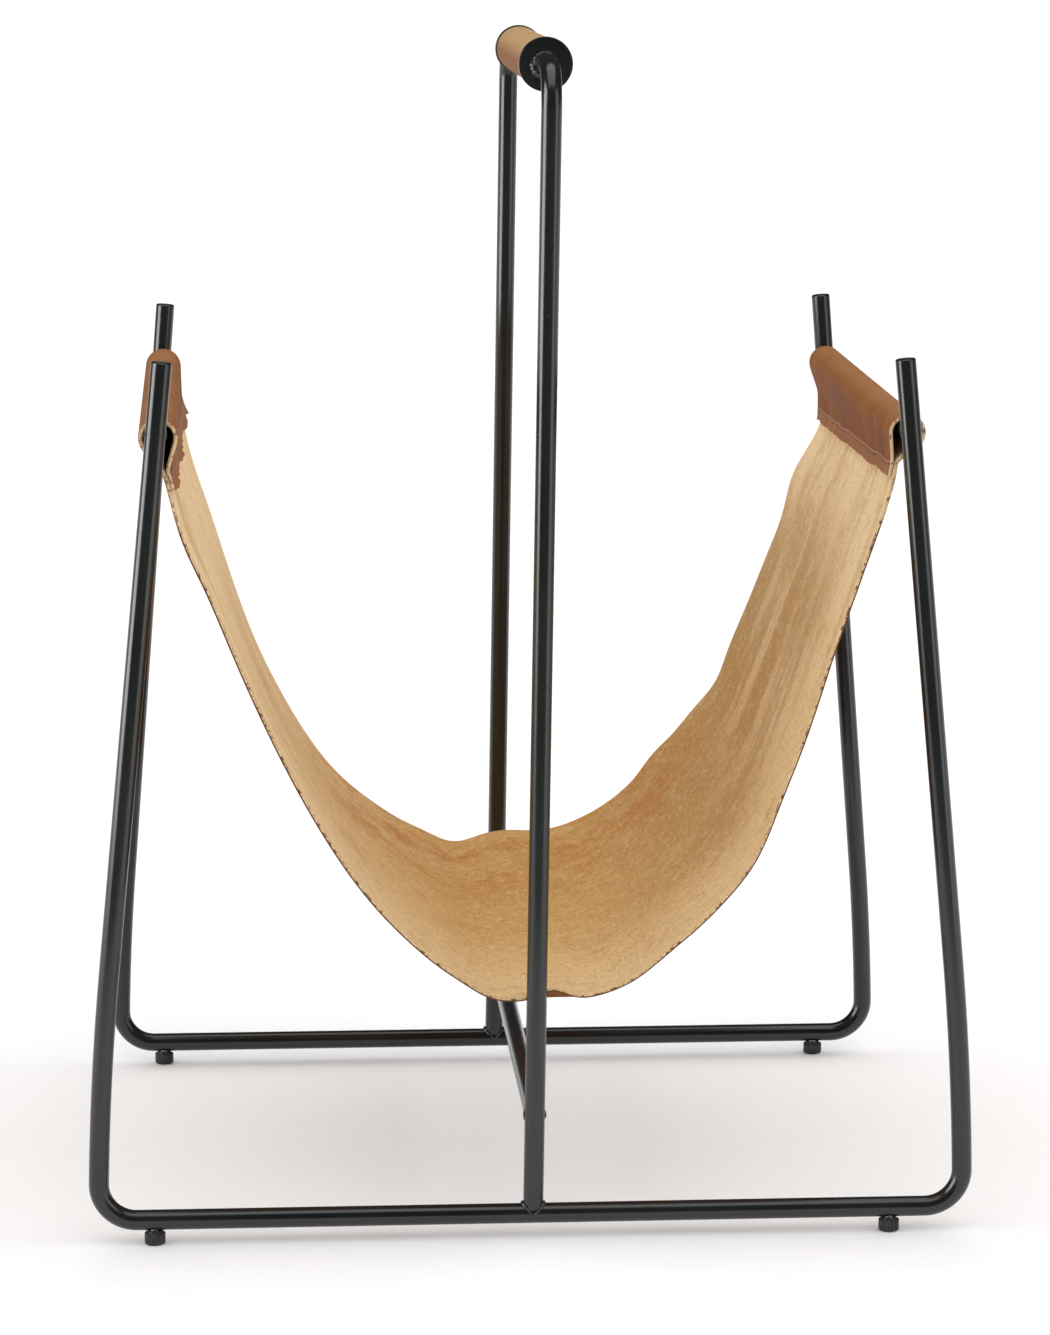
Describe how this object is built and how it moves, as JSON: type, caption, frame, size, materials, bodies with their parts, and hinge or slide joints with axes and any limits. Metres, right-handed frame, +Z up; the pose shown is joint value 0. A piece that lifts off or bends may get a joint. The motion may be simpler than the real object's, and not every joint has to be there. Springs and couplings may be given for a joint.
{
  "type": "magazine rack",
  "caption": "Magazine rack: a bent steel rod frame with a tall leather-covered carry handle, holding a curved leather sling between two cross bars.",
  "frame": {"origin": "on the floor, in the middle of the rack's bounding box", "axes": "+X to the right and +Y from the front frame to the back frame along the handle, +Z up"},
  "size_m": [0.4384, 0.3358, 0.588],
  "materials": {
    "powder_coat": "black satin powder coat",
    "sling_leather": "suede inside, smooth brown outside",
    "grip_leather": "smooth tan-brown leather",
    "wood_core": "plain turned wood, hidden",
    "thread": "waxed thread",
    "foot_plastic": "black ribbed plastic",
    "stud_zinc": "zinc plated thread"
  },
  "bodies": {
    "body": {"front_frame": "powder_coat", "back_frame": "powder_coat", "handle_loop": "powder_coat", "stretcher": "powder_coat", "left_cross_bar": "powder_coat", "right_cross_bar": "powder_coat", "front_grip_disc": "powder_coat", "back_grip_disc": "powder_coat", "grip_core": "wood_core", "grip_leather": "grip_leather", "sling": "sling_leather", "left_seam_thread": "thread", "right_seam_thread": "thread"},
    "front_left_stud_body": {"front_left_stud": "stud_zinc"},
    "front_left_foot_body": {"front_left_foot": "foot_plastic"},
    "front_right_stud_body": {"front_right_stud": "stud_zinc"},
    "front_right_foot_body": {"front_right_foot": "foot_plastic"},
    "back_left_stud_body": {"back_left_stud": "stud_zinc"},
    "back_left_foot_body": {"back_left_foot": "foot_plastic"},
    "back_right_stud_body": {"back_right_stud": "stud_zinc"},
    "back_right_foot_body": {"back_right_foot": "foot_plastic"}
  },
  "joints": [
    {"name": "front_left_foot_travel", "type": "slide", "parent": "body", "child": "front_left_stud_body", "axis": [0, 0, -1], "range_m": [0, 0.003]},
    {"name": "front_left_foot_turn", "type": "hinge", "parent": "front_left_stud_body", "child": "front_left_foot_body", "pos_m": [-0.187, -0.1627, 0], "axis": [0, 0, -1], "range_deg": [0, 1360]},
    {"name": "front_right_foot_travel", "type": "slide", "parent": "body", "child": "front_right_stud_body", "axis": [0, 0, -1], "range_m": [0, 0.003]},
    {"name": "front_right_foot_turn", "type": "hinge", "parent": "front_right_stud_body", "child": "front_right_foot_body", "pos_m": [0.178, -0.1627, 0], "axis": [0, 0, -1], "range_deg": [0, 1360]},
    {"name": "back_left_foot_travel", "type": "slide", "parent": "body", "child": "back_left_stud_body", "axis": [0, 0, -1], "range_m": [0, 0.003]},
    {"name": "back_left_foot_turn", "type": "hinge", "parent": "back_left_stud_body", "child": "back_left_foot_body", "pos_m": [-0.188, 0.1627, 0], "axis": [0, 0, -1], "range_deg": [0, 1360]},
    {"name": "back_right_foot_travel", "type": "slide", "parent": "body", "child": "back_right_stud_body", "axis": [0, 0, -1], "range_m": [0, 0.003]},
    {"name": "back_right_foot_turn", "type": "hinge", "parent": "back_right_stud_body", "child": "back_right_foot_body", "pos_m": [0.1835, 0.1627, 0], "axis": [0, 0, -1], "range_deg": [0, 1360]}
  ],
  "couplings": [
    {"joint": "front_left_foot_turn", "follows": "front_left_foot_travel", "rad_per_m": 7854},
    {"joint": "front_right_foot_turn", "follows": "front_right_foot_travel", "rad_per_m": 7854},
    {"joint": "back_left_foot_turn", "follows": "back_left_foot_travel", "rad_per_m": 7854},
    {"joint": "back_right_foot_turn", "follows": "back_right_foot_travel", "rad_per_m": 7854}
  ]
}
